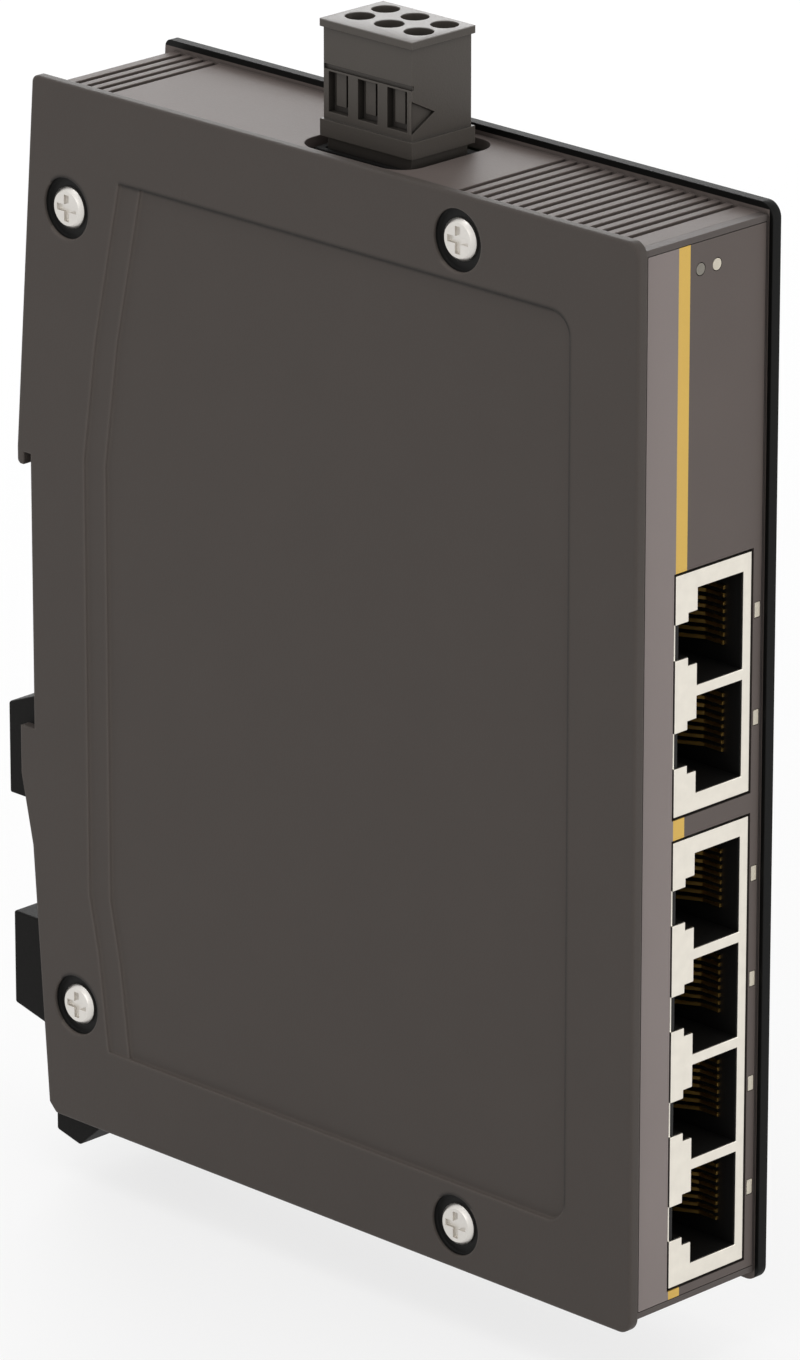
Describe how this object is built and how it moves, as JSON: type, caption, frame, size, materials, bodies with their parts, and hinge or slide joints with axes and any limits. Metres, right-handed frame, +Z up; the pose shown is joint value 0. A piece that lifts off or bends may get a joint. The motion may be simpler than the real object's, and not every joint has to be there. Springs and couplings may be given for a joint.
{
  "type": "din rail ethernet switch",
  "caption": "Slim upright case that hooks on a DIN rail, with shielded network sockets down its front edge and a pluggable power terminal on top.",
  "frame": {"origin": "centre of the DIN rail seat: mid width, on the plane of the rail's front flanges, on the rail's centre line", "axes": "+X from the screwed cover to the fixed side, +Y from the ports to the rail, +Z up"},
  "size_m": [0.025, 0.1131, 0.1595],
  "materials": {
    "case": "fine-textured dark warm grey coat",
    "cover": "fine-textured dark warm grey coat",
    "front": "matt dark grey",
    "label": "satin printed film, two greys and one yellow stripe",
    "screw_zinc": "bright zinc plate",
    "shield": "bright nickel-plated sheet",
    "insulator": "black glass-filled nylon",
    "gold_contact": "gold plate",
    "tin_pin": "tin plate",
    "clear_guide": "clear polycarbonate",
    "led_body": "white ceramic",
    "board_green": "green solder mask",
    "chip_black": "black epoxy",
    "can_metal": "satin can",
    "sink_black": "black anodised",
    "fuse_white": "white ceramic",
    "absorber_blue": "blue lacquer",
    "film_clear": "translucent polyester",
    "latch_black": "matt black polyamide",
    "spring_steel": "plain spring wire",
    "plug_black": "matt black polyamide"
  },
  "bodies": {
    "case": {"housing_shell": "case", "side_cover": "cover", "cover_screws": "screw_zinc", "front_panel": "front", "front_label": "label", "jack_body_double": "insulator", "jack_body_quad": "insulator", "jack_shield_double": "shield", "jack_shield_quad": "shield", "jack_contacts_double": "gold_contact", "jack_contacts_quad": "gold_contact", "port_light_pipes": "clear_guide", "port_leds": "led_body", "status_light_guide": "clear_guide", "status_leds": "led_body", "power_header": "plug_black", "header_pins": "tin_pin", "main_board": "board_green", "board_screws": "screw_zinc", "port_transformers": "chip_black", "switch_chip": "chip_black", "heat_spreader": "sink_black", "clock_crystal": "can_metal", "memory_chip": "chip_black", "regulator_chip": "chip_black", "power_inductor": "chip_black", "bulk_capacitors": "can_metal", "input_fuse": "fuse_white", "input_rectifier": "chip_black", "surge_absorber": "absorber_blue", "insulating_film": "film_clear", "latch_spring": "spring_steel"},
    "power_plug": {"plug_body": "plug_black", "plug_clamps": "screw_zinc", "plug_screws": "screw_zinc", "plug_contacts": "tin_pin"},
    "latch": {"rail_latch": "latch_black"}
  },
  "joints": [
    {"name": "plug_pull", "type": "slide", "parent": "case", "child": "power_plug", "axis": [0, 0, 1], "range_m": [0, 0.008]},
    {"name": "latch_slide", "type": "slide", "parent": "case", "child": "latch", "axis": [0, 0, -1], "range_m": [0, 0.004], "stiffness_N_per_m": 1500, "springref_m": -0.002, "deforming": ["latch_spring"]}
  ]
}
